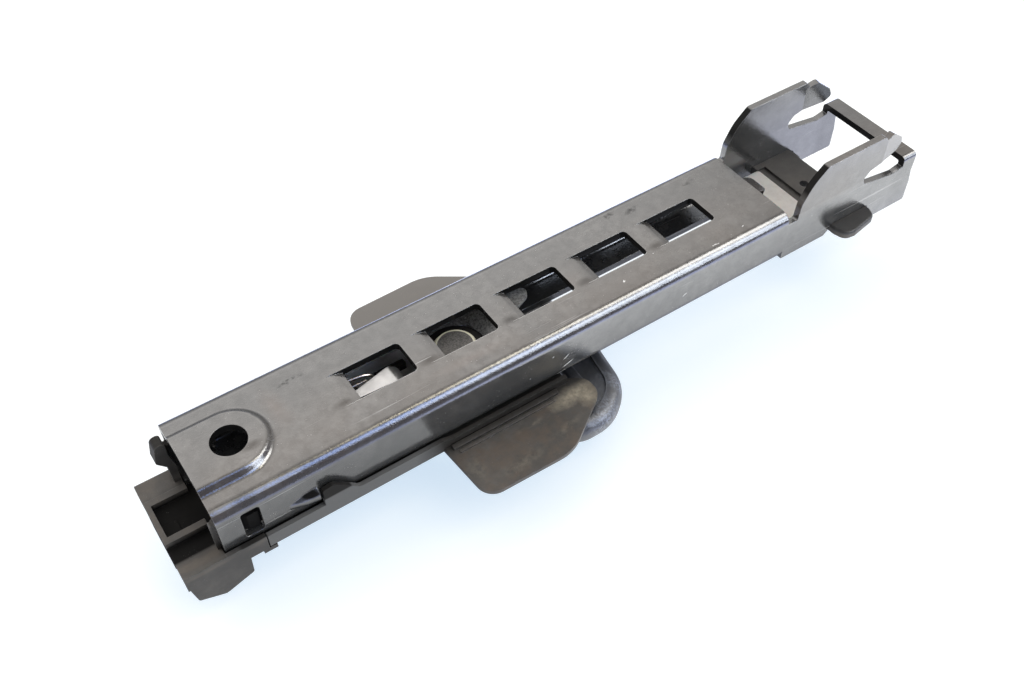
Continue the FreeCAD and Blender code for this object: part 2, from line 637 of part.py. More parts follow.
def latch_lever():
    """Rocker with a tail for the button, a hub on the pin and a tooth that rises towards +X."""
    root_x = PIVOT_X + 4.0
    root_z = TOOTH_TOP - 1.2
    low = TOOTH_TOP - TOOTH_HEIGHT
    arm = side([(PIVOT_X - 1.0, PIVOT_Z - 2.2), (PIVOT_X, PIVOT_Z + HUB_R - 0.5), (root_x, root_z),
                (TOOTH_X - TOOTH_SLANT, TOOTH_TOP, 1.5), (TOOTH_X, TOOTH_TOP - 2.0, 0.8), (TOOTH_X, low, 0.8),
                (root_x, PIVOT_Z - 2.2)], -TOOTH_HALF, TOOTH_HALF)
    half = [(TOOTH_X, -TOOTH_HALF, 1.6), (TOOTH_X - 2.4, -TOOTH_HALF, 1.5),
            (root_x, -TOOTH_ROOT_HALF), (PIVOT_X + 2.0, -TOOTH_ROOT_HALF),
            (PIVOT_X - 2.0, -TOOTH_HALF)]
    mirrored = [(point[0], -point[1]) + point[2:] for point in reversed(half)]
    taper = plan(half + mirrored, low - 3, 0)
    arm = arm.common(taper)
    tail_top = PIVOT_Z - 1.0
    tail = side([(TAIL_X, tail_top, 1.4), (PIVOT_X - 4.5, PIVOT_Z + 1.6, 4.0), (PIVOT_X, PIVOT_Z + 2.6),
                 (PIVOT_X, PIVOT_Z - 2.6), (PIVOT_X - 5.0, PIVOT_Z - 2.0, 4.0),
                 (TAIL_X, tail_top - LEVER_THICK, 1.4)], -TAIL_HALF, TAIL_HALF)
    hub = cross_cylinder(PIVOT_X, PIVOT_Z, -TAIL_HALF, TAIL_HALF, HUB_R - 0.4)
    bore = cross_cylinder(PIVOT_X, PIVOT_Z, -TAIL_HALF - 1, TAIL_HALF + 1, PIN_R + PIN_GAP)
    dimple = box(TOOTH_X - 6.3, TOOTH_X - 5.0, -TOOTH_HALF - 1, -TOOTH_HALF + 1.6,
                 TOOTH_TOP - 3.6, TOOTH_TOP - 2.2)
    return fuse([arm, tail, hub]).cut([bore, dimple]).removeSplitter()


def latch_pin():
    reach = CHEEK_IN + CHEEK_THICK + PIN_STAND
    shaft = cross_cylinder(PIVOT_X, PIVOT_Z, -reach, reach, PIN_R)
    head = cross_cylinder(PIVOT_X, PIVOT_Z, -reach, -reach + 0.8, PIN_R + 0.5)
    return fuse([shaft, head])


def latch_coil(y0, y1):
    """One coil of the latch spring, as a row of turns round the pin."""
    pitch = (y1 - y0 - COIL_WIRE) / (COIL_TURNS - 1)
    turns = []
    for i in range(COIL_TURNS):
        centre = vec(PIVOT_X, y0 + COIL_WIRE / 2 + i * pitch, PIVOT_Z)
        turns.append(Part.makeTorus(COIL_RING, COIL_WIRE / 2 + 0.02, centre, vec(0, 1, 0)))
    return turns


def wire_run(points, radius):
    """Straight lengths of wire with round joints where they meet."""
    solids = []
    for a, b in zip(points[:-1], points[1:]):
        solids.append(Part.makeCylinder(radius, a.distanceToPoint(b), a, b - a))
    solids += [Part.makeSphere(radius, p) for p in points[1:-1]]
    return solids


def latch_spring():
    """Double coil on the pin: a loop under the tooth, and two legs on the carriage plate."""
    inner, outer = TAIL_HALF + 0.2, CHEEK_IN - 0.2
    radius = COIL_WIRE / 2
    solids = []
    for sign in (-1, 1):
        y0, y1 = sorted((sign * inner, sign * outer))
        solids += latch_coil(y0, y1)
        y = sign * (outer - radius)
        foot = PLATE_TOP + radius + 0.05
        back = [vec(PIVOT_X, y, PIVOT_Z - COIL_RING), vec(PIVOT_X + WIRE_FOOT, y, foot + 0.15),
                vec(PIVOT_X + WIRE_END, y, foot)]
        solids += wire_run(back, radius)
    y = inner + radius
    beside = TOOTH_HALF + COIL_WIRE
    loop_x = PIVOT_X + 11.0
    loop_z = TOOTH_TOP - TOOTH_HEIGHT - 0.6 - COIL_WIRE
    leg = [(0, y, PIVOT_Z + COIL_RING), (3.8, y, PIVOT_Z + 3.0), (9.4, beside + 0.6, PIVOT_Z + 3.0),
           (loop_x - PIVOT_X, beside + 0.5, loop_z)]
    front = [vec(PIVOT_X + x, -side_y, z) for x, side_y, z in leg]
    front += [vec(PIVOT_X + x, side_y, z) for x, side_y, z in reversed(leg)]
    return fuse(solids + wire_run(front, radius))


# The slide cover and its button

def cover_wing():
    points = [(WING_START, -RAIL_HALF), (WING_START + 1.5, 0.6 - WING_HALF, 4.8),
              (WING_END - 15.7, -WING_HALF, 13.0), (WING_END + 0.8, 11.4 - WING_HALF, 5.0),
              (WING_END + 0.4, -COVER_HALF - 1.4, 4.0), (WALL_END, -RAIL_HALF)]
    wing = plan(points, WING_TOP - WING_SHEET, WING_TOP)
    root = -COVER_HALF - 0.3
    return [wing, rib_strip(WING_START + 2.0, WING_END - 8.6, root, root - 1.6, 0.7),
            rib_strip(WING_START + 3.0, WING_END - 10.6, root - 2.3, root - 3.1, 0.4)]


def rib_strip(x0, x1, y0, y1, rise):
    """Low stiffening rib along the root of a wing."""
    points = [(x0, y0, 0.3), (x1, y0, 0.3), (x1, y1, 0.3), (x0, y1, 0.3)]
    return plan(points, WING_TOP - WING_SHEET / 2, WING_TOP + rise)


def cover_side():
    """Side wall along the tail, with the raised ear that meets the rail's pressed stop."""
    left = STOP_X + STOP_LENGTH + 0.6
    ear_top = WALL_TOP + EAR_HIGH
    points = [(TAIL_START, COVER_LOW), (TAIL_START, WALL_TOP), (left, WALL_TOP),
              (left, ear_top - 0.4, 0.6), (left + 2.9, ear_top, 1.5), (left + 5.2, ear_top - 1.8, 2.0),
              (left + 9.3, WALL_TOP, 2.0), (WING_START, WALL_TOP), (WING_START + 3.0, WALL_TOP - 1.0),
              (WALL_END, WALL_TOP - 1.0), (WALL_END, COVER_LOW)]
    return side(points, -COVER_HALF, -COVER_HALF + WALL_THICK)


def cover_leg(x, sign):
    """Snap leg that passes the rail's slot and holds on the carriage plate."""
    outer = sign * (SLOT_HALF - 0.5)
    y0, y1 = sorted((sign * (SLOT_HALF - 2.3), outer))
    top = PLATE_TOP + 1.6
    leg = box(x, x + 4.0, y0, y1, COVER_TOP - 0.5, top)
    barb = section([(outer, PLATE_TOP + 0.05), (outer + sign, PLATE_TOP + 0.05), (outer, top)], x, x + 4.0)
    return [leg, barb]


def slide_cover():
    low = COVER_LOW
    tail = plan([(TAIL_START, -COVER_HALF, 1.0), (WALL_END, -COVER_HALF), (WALL_END, COVER_HALF),
                 (TAIL_START, COVER_HALF, 1.0)], low, COVER_TOP)
    solids = [tail]
    for part in cover_wing() + [cover_side()]:
        solids += both_sides(part)
    for x in leg_places():
        for sign in (-1, 1):
            solids += cover_leg(x, sign)
    rim = BUTTON_HALF + BUTTON_RIM
    left, right = BUTTON_X, BUTTON_X + BUTTON_LENGTH
    solids.append(box(left - BUTTON_RIM, right + BUTTON_RIM, -rim, rim, low - BUTTON_CURB, low))
    well = box(left, right, -BUTTON_HALF, BUTTON_HALF, low - 2, COVER_TOP + 1)
    eye = cylinder(BOLT_X, 0, low - 1, COVER_TOP + 1, COLLAR_R + 0.6)
    return fuse(solids).cut([well, eye]).removeSplitter()


def release_button():
    """Push button in the tail of the cover; its post lifts the latch's tail."""
    gap = 0.15
    cap_top = COVER_LOW - BUTTON_CURB - BUTTON_GAP
    half = BUTTON_HALF - gap
    left, right = BUTTON_X, BUTTON_X + BUTTON_LENGTH
    body = box(left + gap, right - gap, -half, half, cap_top - 1.0, COVER_TOP - 0.6)
    hollow = box(left + 1.6, right - 1.6, -half + 1.5, half - 1.5, cap_top, 0)
    rim = BUTTON_RIM - 0.2
    wide = BUTTON_HALF + rim
    points = [(left - rim, -wide, 2.5), (right + rim, -wide, 2.5), (right + rim, wide, 2.5),
              (left - rim, wide, 2.5)]
    cap = plan(points, cap_top - BUTTON_CAP, cap_top)
    cap = rounded(cap, 1.2, at_level(cap_top - BUTTON_CAP))
    post_x = TAIL_X + 2.6
    post_top = PIVOT_Z - 1.0 - LEVER_THICK - 0.3
    post = box(post_x - 1.6, post_x + 1.6, -3.0, 3.0, cap_top - 1.0, post_top)
    return fuse([body.cut(hollow), cap, rounded(post, 1.0, at_level(post_top))])


# The bolt stack

def anchor_bolt():
    shaft = cylinder(BOLT_X, 0, HEAD_TOP, BOLT_TOP, BOLT_R)
    shaft = shaft.makeChamfer(0.8, [edge for edge in shaft.Edges if at_level(BOLT_TOP)(edge)])
    flange_low = HEAD_TOP - FLANGE_THICK
    flange = Part.makeCone(FLANGE_R - 1.2, FLANGE_R, FLANGE_THICK, vec(BOLT_X, 0, flange_low), vec(0, 0, 1))
    hexagon = prism_six(HEX_ACROSS, flange_low - HEX_HEIGHT, flange_low + 0.5)
    trim = Part.makeCone(HEX_ACROSS / 2 - 0.3, HEX_ACROSS / 2 + HEX_HEIGHT, HEX_HEIGHT + 0.5,
                         vec(BOLT_X, 0, flange_low - HEX_HEIGHT), vec(0, 0, 1))
    socket = prism_six(SOCKET_ACROSS, flange_low - HEX_HEIGHT - 1, flange_low - HEX_HEIGHT + SOCKET_DEPTH)
    return fuse([shaft, flange, hexagon.common(trim)]).cut(socket)


def prism_six(across, z0, z1):
    """Six-sided prism round the bolt's axis, measured across its flats."""
    reach = across / math.sqrt(3)
    turns = [math.radians(60 * i) for i in range(6)]
    corners = [(BOLT_X + reach * math.cos(turn), reach * math.sin(turn)) for turn in turns]
    return plan(corners, z0, z1)


def spacer_sleeve():
    tube = cylinder(BOLT_X, 0, HEAD_TOP, PLATE_BOTTOM, SLEEVE_R)
    collar = cylinder(BOLT_X, 0, COLLAR_BOTTOM, COLLAR_BOTTOM + COLLAR_THICK, COLLAR_R)
    collar = rounded(collar, 0.3, at_level(COLLAR_BOTTOM + COLLAR_THICK))
    return fuse([tube, collar]).cut(cylinder(BOLT_X, 0, HEAD_TOP - 1, PLATE_BOTTOM + 1, BOLT_R + PIN_GAP))


def disc_spring():
    """Dished spring washer between the sleeve's collar and the belt guide."""
    inner, outer = SLEEVE_R + 0.2, COLLAR_R - 0.2
    top, low = COLLAR_BOTTOM - 0.02, CORE_TOP + 0.02
    points = [(inner, top - DISC_SPRING_SHEET), (inner, top), (outer, low + DISC_SPRING_SHEET), (outer, low)]
    face = outline(points, lambda a, b: vec(BOLT_X + a, 0, b))
    return face.revolve(vec(BOLT_X, 0, 0), vec(0, 0, 1), 360)


def thrust_washer():
    ring = cylinder(BOLT_X, 0, HEAD_TOP, CORE_BOTTOM - 0.02, THRUST_R)
    return ring.cut(cylinder(BOLT_X, 0, HEAD_TOP - 1, CORE_BOTTOM + 1, SLEEVE_R + 0.1))


# The belt guide

def guide_plan(inset, z0, z1):
    """Outline of the belt guide, drawn in by inset."""
    reach, shoulder = BOLT_X + GUIDE_REACH, BOLT_X + GUIDE_SHOULDER
    half = [(reach, 0, 60.0), (reach - 4.0, GUIDE_HALF - 7.0, 14.0), (reach - 13.2, GUIDE_HALF, 14.0),
            (shoulder, GUIDE_HALF, 9.0), (BOLT_X - 6.5, 17.0, 12.0), (BOLT_X - 17.0, 9.5, 9.0)]
    mirrored = [(point[0], -point[1], point[2]) for point in reversed(half[1:])]
    face = outline(half + mirrored, lambda a, b: vec(a, b, z0))
    if inset:
        face = face.makeOffset2D(-inset)
    return face.extrude(vec(0, 0, z1 - z0))


def belt_slot(margin, z0, z1):
    """Slot that the belt runs through, widened by margin."""
    left = BOLT_X + BELT_SLOT_X - margin
    right = BOLT_X + BELT_SLOT_X + BELT_SLOT_WIDE + margin
    half = BELT_SLOT_HALF + margin
    corner = 3.8 + margin
    points = [(left, -half, corner), (right - 1.5, -half, corner), (right, 0, 90.0),
              (right - 1.5, half, corner), (left, half, corner)]
    return plan(points, z0, z1)


def core_plate():
    return guide_plan(4.0, CORE_BOTTOM, CORE_TOP).cut(belt_slot(2.2, CORE_BOTTOM - 1, CORE_TOP + 1))


def belt_guide_core():
    eye = cylinder(BOLT_X, 0, CORE_BOTTOM - 1, CORE_TOP + 1, SLEEVE_R + SWIVEL_GAP)
    return core_plate().cut(eye)


def is_face_edge(edge):
    """Whether an edge lies in the belt guide's upper or lower face."""
    return at_level(GUIDE_TOP)(edge) or at_level(GUIDE_TOP - GUIDE_THICK)(edge)


def is_slot_edge(edge):
    """Whether an edge in one of those faces belongs to the belt's slot."""
    left = BOLT_X + BELT_SLOT_X
    bounds = edge.BoundBox
    inside = bounds.XMin > left - 0.01 and bounds.XMax < left + BELT_SLOT_WIDE + 0.01
    return inside and is_face_edge(edge)


def belt_guide_cover():
    """Moulding round the steel core: a thick round rim, and a shallow dish inside it."""
    low = GUIDE_TOP - GUIDE_THICK
    body = rounded(guide_plan(0, low, GUIDE_TOP), RIM_ROUND, is_face_edge)
    body = rounded(body.cut(belt_slot(0, low - 1, GUIDE_TOP + 1)), SLOT_ROUND, is_slot_edge)
    floor = GUIDE_TOP - DISH_DEPTH
    dish = guide_plan(DISH_INSET, floor, GUIDE_TOP + 1).cut(belt_slot(3.2, floor - 1, GUIDE_TOP + 2))
    eye = cylinder(BOLT_X, 0, low - 1, GUIDE_TOP + 1, FLANGE_R + 0.6)
    return body.cut([dish, eye, core_plate()])


PIECES = {
    "rail": rail,
    "top_guide": top_guide,
    "bottom_stop": bottom_stop,
    "bottom_buffer": buffer,
    "carriage_plate": carriage_plate,
    "weld_nut": weld_nut,
    "near_shoe": slide_shoe,
    "far_shoe": lambda: other_side(slide_shoe()),
    "anti_rattle_spring": anti_rattle_spring,
    "latch_lever": latch_lever,
    "latch_pin": latch_pin,
    "latch_spring": latch_spring,
    "slide_cover": slide_cover,
    "release_button": release_button,
    "anchor_bolt": anchor_bolt,
    "spacer_sleeve": spacer_sleeve,
    "disc_spring": disc_spring,
    "thrust_washer": thrust_washer,
    "belt_guide_core": belt_guide_core,
    "belt_guide_cover": belt_guide_cover,
}

os.makedirs("parts", exist_ok=True)
for name, make in PIECES.items():
    shape = make()
    print(name, len(shape.Solids), round(shape.Volume, 1), shape.isValid())
    shape.exportStep("parts/" + name + ".step")
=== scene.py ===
import json
import math

import bmesh
import bpy
from mathutils import Matrix, Vector


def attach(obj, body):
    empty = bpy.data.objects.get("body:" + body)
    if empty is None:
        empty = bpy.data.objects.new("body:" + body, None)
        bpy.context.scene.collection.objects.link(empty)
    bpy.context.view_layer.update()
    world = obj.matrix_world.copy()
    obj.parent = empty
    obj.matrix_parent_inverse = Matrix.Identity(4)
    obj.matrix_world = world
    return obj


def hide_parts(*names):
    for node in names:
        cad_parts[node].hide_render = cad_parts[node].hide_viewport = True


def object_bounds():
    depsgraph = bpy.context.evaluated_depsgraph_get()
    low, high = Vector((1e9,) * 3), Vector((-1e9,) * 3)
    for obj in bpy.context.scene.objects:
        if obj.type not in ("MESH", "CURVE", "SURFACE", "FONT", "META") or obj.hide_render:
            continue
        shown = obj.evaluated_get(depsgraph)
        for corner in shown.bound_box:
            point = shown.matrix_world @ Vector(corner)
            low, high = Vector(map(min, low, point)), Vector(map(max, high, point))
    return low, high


# Looks of the seat belt height adjuster. Metres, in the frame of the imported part:
# +X runs down the rail, +Z out of the web, the belt guide hangs at -Z.
# Sizes and places are written in millimetres and multiplied by MM where they are used.

MM = 0.001
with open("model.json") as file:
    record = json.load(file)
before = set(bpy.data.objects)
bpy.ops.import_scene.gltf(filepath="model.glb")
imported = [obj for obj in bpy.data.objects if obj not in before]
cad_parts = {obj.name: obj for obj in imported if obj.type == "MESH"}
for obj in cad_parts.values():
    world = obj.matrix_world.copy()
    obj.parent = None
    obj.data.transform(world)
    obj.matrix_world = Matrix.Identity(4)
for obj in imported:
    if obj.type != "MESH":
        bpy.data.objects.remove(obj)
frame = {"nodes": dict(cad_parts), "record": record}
cad_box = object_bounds()
nodes = frame["nodes"]


# Node trees

MIX_SHARE, MIX_A, MIX_B, MIX_RESULT = 0, 6, 7, 2
BEVEL_SAMPLES = 4


class Tree:
    """A material's node tree, with short calls for the nodes that the finishes share."""

    def __init__(self, name):
        self.material = bpy.data.materials.new(name)
        self.material.use_nodes = True
        self.tree = self.material.node_tree
        self.shader = self.tree.nodes["Principled BSDF"]
        self.coords = self.tree.nodes.new("ShaderNodeTexCoord").outputs["Object"]

    def add(self, kind, inputs=(), **settings):
        made = self.tree.nodes.new("ShaderNode" + kind)
        for key, value in settings.items():
            setattr(made, key, value)
        for key, value in dict(inputs).items():
            self.put(made.inputs[key], value)
        return made

    def put(self, socket, value):
        if isinstance(value, bpy.types.NodeSocket):
            self.tree.links.new(value, socket)
        else:
            socket.default_value = value

    def set(self, **values):
        for key, value in values.items():
            self.put(self.shader.inputs[key.replace("_", " ")], value)

    def math(self, operation, a, b=0.0):
        return self.add("Math", {0: a, 1: b}, operation=operation).outputs[0]

    def times(self, product, *others):
        """The product of several values."""
        for other in others:
            product = self.math("MULTIPLY", product, other)
        return product

    def most(self, largest, *others):
        """The largest of several values."""
        for other in others:
            largest = self.math("MAXIMUM", largest, other)
        return largest

    def size(self, value):
        """A value without its sign."""
        return self.math("ABSOLUTE", value)

    def distance(self, a, b):
        """The length of a step a to one side and b to the other."""
        return self.math("SQRT", self.math("ADD", self.times(a, a), self.times(b, b)))

    def stretch(self, scale, turn=0.0):
        """Coordinates stretched by a scale for each axis and turned about Z."""
        made = self.add("Mapping", {"Vector": self.coords, "Scale": scale, "Rotation": (0, 0, turn)})
        return made.outputs[0]

    def noise(self, scale, detail=3.0, rough=0.5, vector=None):
        made = self.add("TexNoise", {"Vector": vector or self.coords, "Scale": scale,
                                     "Detail": detail, "Roughness": rough})
        return made.outputs["Fac"]

    def cells(self, scale, feature="F1"):
        made = self.add("TexVoronoi", {"Vector": self.coords, "Scale": scale}, feature=feature)
        return made.outputs["Distance"]

    def ramp(self, value, low, high, start=0.0, end=1.0):
        """Value carried from low..high to start..end, and held there outside."""
        made = self.add("MapRange", {"Value": value, "From Min": low, "From Max": high,
                                     "To Min": start, "To Max": end})
        made.clamp = True
        return made.outputs[0]

    def over(self, place, low, high, start=0.0, end=1.0):
        """A ramp between two places in millimetres."""
        return self.ramp(place, low * MM, high * MM, start, end)

    def blend(self, share, a, b):
        """Colour a where share is 0 and b where it is 1."""
        made = self.add("Mix", {MIX_SHARE: share}, data_type="RGBA")
        self.put(made.inputs[MIX_A], a)
        self.put(made.inputs[MIX_B], b)
        return made.outputs[MIX_RESULT]

    def cover(self, colour, *layers):
        """A colour under several layers, each given as its mask, its strength and its own colour."""
        for mask, strength, layer in layers:
            colour = self.blend(self.times(mask, strength), colour, layer)
        return colour

    def axes(self):
        """The object's own x, y and z."""
        return self.add("SeparateXYZ", {0: self.coords}).outputs

    def ragged(self, amount, scale):
        """Coordinates pushed about by noise, so that marks get torn outlines."""
        noise = self.add("TexNoise", {"Vector": self.coords, "Scale": scale, "Detail": 3.0})
        shift = self.add("VectorMath", {0: noise.outputs["Color"], 1: (0.5, 0.5, 0.5)}, operation="SUBTRACT")
        scaled = self.add("VectorMath", {0: shift.outputs[0], "Scale": amount * MM}, operation="SCALE")
        return self.add("VectorMath", {0: self.coords, 1: scaled.outputs[0]}, operation="ADD").outputs[0]

    def spot(self, centre, half, turn=0.0, vector=None, core=0.4, axis="Y"):
        """1 in an oval patch, 0 outside it: centre and half sizes in millimetres, turned about one axis."""
        angles = {"Y": (0, turn, 0), "Z": (0, 0, turn)}[axis]
        place = self.add("Mapping", {"Vector": vector or self.coords, "Rotation": angles,
                                     "Location": [v * MM for v in centre],
                                     "Scale": [v * MM for v in half]}, vector_type="TEXTURE")
        far = self.add("VectorMath", {0: place.outputs[0]}, operation="LENGTH").outputs["Value"]
        return self.ramp(far, 1.0, core)

    def spots(self, places, **settings):
        """The largest share of several patches."""
        return self.most(*[self.spot(*place, **settings) for place in places])

    def bump(self, height, strength, distance, normal):
        made = self.add("Bump", {"Height": height, "Strength": strength,
                                 "Distance": distance, "Normal": normal})
        return made.outputs[0]

    def soft_edges(self, radius):
        """Normals rounded over the sharp edges of a pressed or moulded piece."""
        return self.add("Bevel", {"Radius": radius}, samples=BEVEL_SAMPLES).outputs[0]

    def worn_edges(self, radius):
        """1 along the sharp edges, 0 on the flats."""
        plain = self.add("NewGeometry").outputs["Normal"]
        same = self.add("VectorMath", {0: self.soft_edges(radius), 1: plain}, operation="DOT_PRODUCT")
        return self.ramp(same.outputs["Value"], 0.995, 0.85)


def grey(level, warm=0.0):
    """A grey, warmer where warm is above 0 and cooler below it."""
    return (level * (1 + warm), level, level * (1 - warm), 1.0)


# The rail's coat. A mark is its centre, its half sizes and its turn.

WINDOW_START, WINDOW_PITCH, WINDOW_EDGE = 32.1, 24.0, 5.3
# The patch at each tab's start where the coat's reflection is dimmed as painted shade.
TAB_SHADE_X, TAB_SHADE_Y, TAB_SHADE_LENGTH, TAB_SHADE_WIDTH = 19.6, -4.3, 3.4, 1.6
LAST_TAB_X, LAST_SLIT_X, EARS_X, HOOKS_X = 135.0, 150.0, 165.0, 204.0
FLANGE_Y, CROWN_Y, CROWN_HEIGHT = -16.6, -9.6, 0.30
SCRATCH_DEPTH = 1.5

FLANGE_SCRATCHES = [
    ((x, FLANGE_Y, z), (length, SCRATCH_DEPTH, width), turn) for x, z, length, width, turn in (
        (84.7, -8.9, 1.3, 0.16, -0.6), (85.3, -11.9, 2.0, 0.2, -0.35), (83.4, -14.1, 2.1, 0.14, -0.15),
        (80.5, -6.4, 0.4, 0.12, -0.4), (73.4, -10.2, 0.25, 0.1, -0.4), (124.5, -9.4, 1.0, 0.15, -0.5))]
BEND_CHIPS = [((107.9, -10.0, -0.2), (0.5, 0.25, 0.6), 0.0), ((120.7, -6.2, 0.0), (0.25, 0.2, 0.6), 0.0),
              ((136.8, -13.2, -0.4), (1.4, 0.4, 0.6), 0.0), ((148.0, -11.7, 0.0), (0.5, 0.14, 0.6), 0.0)]
WEB_SMUDGES = [((119.8, 12.4, 0.0), (2.4, 1.2, 1.0), 0.2), ((126.8, 10.8, 0.0), (3.2, 1.1, 1.0), 0.25),
               ((147.2, 10.7, 0.0), (2.6, 0.8, 1.0), 0.1), ((20.0, 9.5, 0.0), (4.0, 0.7, 1.0), 0.05)]
WEB_STAINS = [((13.5, 4.0, 0.0), (3.4, 8.0, 2.0), 0.1), ((92.0, -3.0, 0.0), (9.0, 4.0, 2.0), 0.2),
              ((60.0, -9.5, 0.0), (12.0, 2.2, 2.0), 0.0)]
# Place of the lance, whose upper side gets painted shade.
LANCE = ((10.6, -17.0, -8.6), (3.6, 2.0, 1.5), 0.45)


def brown_cast(t, y, z):
    """Brown cast that grows towards the near side of the web."""
    patchy = t.ramp(t.noise(60.0, 4.0), 0.3, 0.6, 0.35, 1.0)
    return t.times(t.over(y, 9, -9), patchy, t.over(z, -3.2, -1.0))


def tab_start_shade(t, x, y, z):
    """Painted shade: a dimmer reflection by the slit end of each bent tab, from window to window, where the
    tab bends down.
    """
    window = t.math("FLOORED_MODULO", t.math("SUBTRACT", x, WINDOW_START * MM), WINDOW_PITCH * MM)
    along = t.times(t.math("SUBTRACT", window, TAB_SHADE_X * MM), 1 / (TAB_SHADE_LENGTH * MM))
    across = t.times(t.math("SUBTRACT", y, TAB_SHADE_Y * MM), 1 / (TAB_SHADE_WIDTH * MM))
    rub = t.ramp(t.distance(along, across), 1.1, 0.2)
    return t.times(rub, t.over(z, -2.4, -1.8), t.over(x, LAST_TAB_X, LAST_TAB_X - 2))


def slit_highlights(t, x, y, z):
    """Painted highlight: a near-white line where the near side of each tab was slit."""
    beside = t.over(t.size(t.math("ADD", y, WINDOW_EDGE * MM)), 0.55, 0.25)
    sharp = t.times(t.over(z, -3.4, -3.0), t.worn_edges(0.3 * MM))
    return t.times(beside, sharp, t.over(x, LAST_SLIT_X, LAST_SLIT_X - 2))


def painted_cut_shade(t, x, y, z):
    """Painted shade, near black with almost no reflection: the walls of the windows, the front edges of the
    ears, found by their faces turned to -X, and the upper side of the lance.
    """
    face_x, _, face_z = t.add("SeparateXYZ", {0: t.add("NewGeometry").outputs["True Normal"]}).outputs
    walls = t.times(t.ramp(t.size(face_z), 0.45, 0.25), t.over(t.size(y), 5.7, 5.5), t.over(z, -2.6, -2.2))
    ear_edge = t.times(t.ramp(face_x, -0.35, -0.6), t.over(x, EARS_X, EARS_X + 2))
    lance = t.spot(*LANCE, vector=t.ragged(0.8, 500.0), core=0.6)
    return t.most(walls, ear_edge, t.times(lance, t.ramp(face_z, 0.15, 0.4)))


def coat_relief(t, y):
    """The web's slight crown beside the near bend, under the coat's orange peel and fine grain."""
    crown = t.add("MapRange", {"Value": y, "From Min": FLANGE_Y * MM, "From Max": CROWN_Y * MM},
                  interpolation_type="SMOOTHSTEP").outputs[0]
    crowned = t.bump(crown, 1.0, CROWN_HEIGHT * MM, t.soft_edges(0.3 * MM))
    peel = t.bump(t.noise(380.0, 3.0, 0.6), 0.25, 0.06 * MM, crowned)
    return t.bump(t.noise(2300.0, 3.0, 0.6), 0.75, 0.05 * MM, peel)


def coated_steel():
    """Black dip coat on pressed steel: glossy, with dust, brown stains, rub marks and fine scratches; painted
    highlights along the tabs' slit edges, painted shade on the windows' walls, the ears' front edges and the
    lance, and a dimmer reflection painted as shade at each tab's start.
    """
    t = Tree("black_dip_coat")
    x, y, z = t.axes()
    torn = t.ragged(1.6, 900.0)
    mottle = t.noise(330.0, 6.0, 0.66)
    broad = t.noise(46.0, 4.0, 0.6)
    film = t.times(t.ramp(broad, 0.42, 0.7), t.ramp(mottle, 0.4, 0.62))
    specks = t.times(t.ramp(t.cells(1100.0), 0.13, 0.05), t.ramp(t.noise(150.0), 0.50, 0.62))
    lines = t.noise(800.0, 2.0, 0.5, t.stretch((0.02, 1.0, 1.0), 0.12))
    scratches = t.times(t.ramp(lines, 0.655, 0.70), t.ramp(t.noise(34.0), 0.52, 0.62))
    edges = t.times(t.worn_edges(0.45 * MM), t.ramp(t.noise(260.0, 4.0), 0.36, 0.6))
    stain = t.times(t.spots(WEB_STAINS, vector=torn, axis="Z", core=0.0), 0.6)
    smears = t.times(t.spots(WEB_SMUDGES, vector=torn, axis="Z"), t.ramp(t.noise(700.0, 4.0), 0.38, 0.56))
    # Smears on the web, and painted shade as a dimmer reflection at each tab's start; both only lower the
    # shine.
    smudge_and_shade = t.most(smears, t.times(tab_start_shade(t, x, y, z), 0.85))
    # Near white: flange scratches and bend chips down to the metal, and a painted highlight along the tabs'
    # slit edges.
    bare_and_highlit = t.most(t.spots(FLANGE_SCRATCHES, core=0.6), t.spots(BEND_CHIPS, vector=torn, core=0.6),
                  slit_highlights(t, x, y, z))
    # Painted shade on the windows' walls, the ears' front edges and the lance's upper side.
    cut_shade = painted_cut_shade(t, x, y, z)

    colour = t.blend(broad, grey(0.034, -0.03), grey(0.056))
    colour = t.cover(colour, (brown_cast(t, y, z), 0.65, (0.078, 0.058, 0.043, 1.0)))
    colour = t.blend(stain, colour, (0.105, 0.070, 0.052, 1.0))
    colour = t.cover(colour, (film, 0.22, grey(0.24, 0.05)), (specks, 0.55, grey(0.40, 0.06)),
                     (edges, 0.42, grey(0.42, 0.03)), (scratches, 0.4, grey(0.5)), (cut_shade, 0.9, grey(0.008)))
    colour = t.blend(bare_and_highlit, colour, grey(0.92))

    right_end = t.most(t.over(x, 138, 158, 1.0, 0.84), t.over(z, -0.3, -1.0))
    shine = t.times(t.ramp(mottle, 0.30, 0.70, 0.44, 0.56), t.ramp(smudge_and_shade, 0.0, 1.0, 1.0, 0.30),
                    t.ramp(bare_and_highlit, 0.0, 1.0, 1.0, 0.4), t.ramp(cut_shade, 0.0, 1.0, 1.0, 0.04),
                    t.over(x, HOOKS_X, HOOKS_X + 3, 1.0, 0.8), right_end)
    smooth = t.ramp(t.noise(55.0, 5.0, 0.6), 0.3, 0.7, 0.06, 0.13)
    rough = t.math("ADD", t.math("ADD", smooth, t.times(specks, 0.3)), t.times(film, 0.08))
    t.set(Base_Color=colour, Roughness=rough, IOR=2.2, Specular_IOR_Level=shine, Normal=coat_relief(t, y))
    return t.material


# Other metals

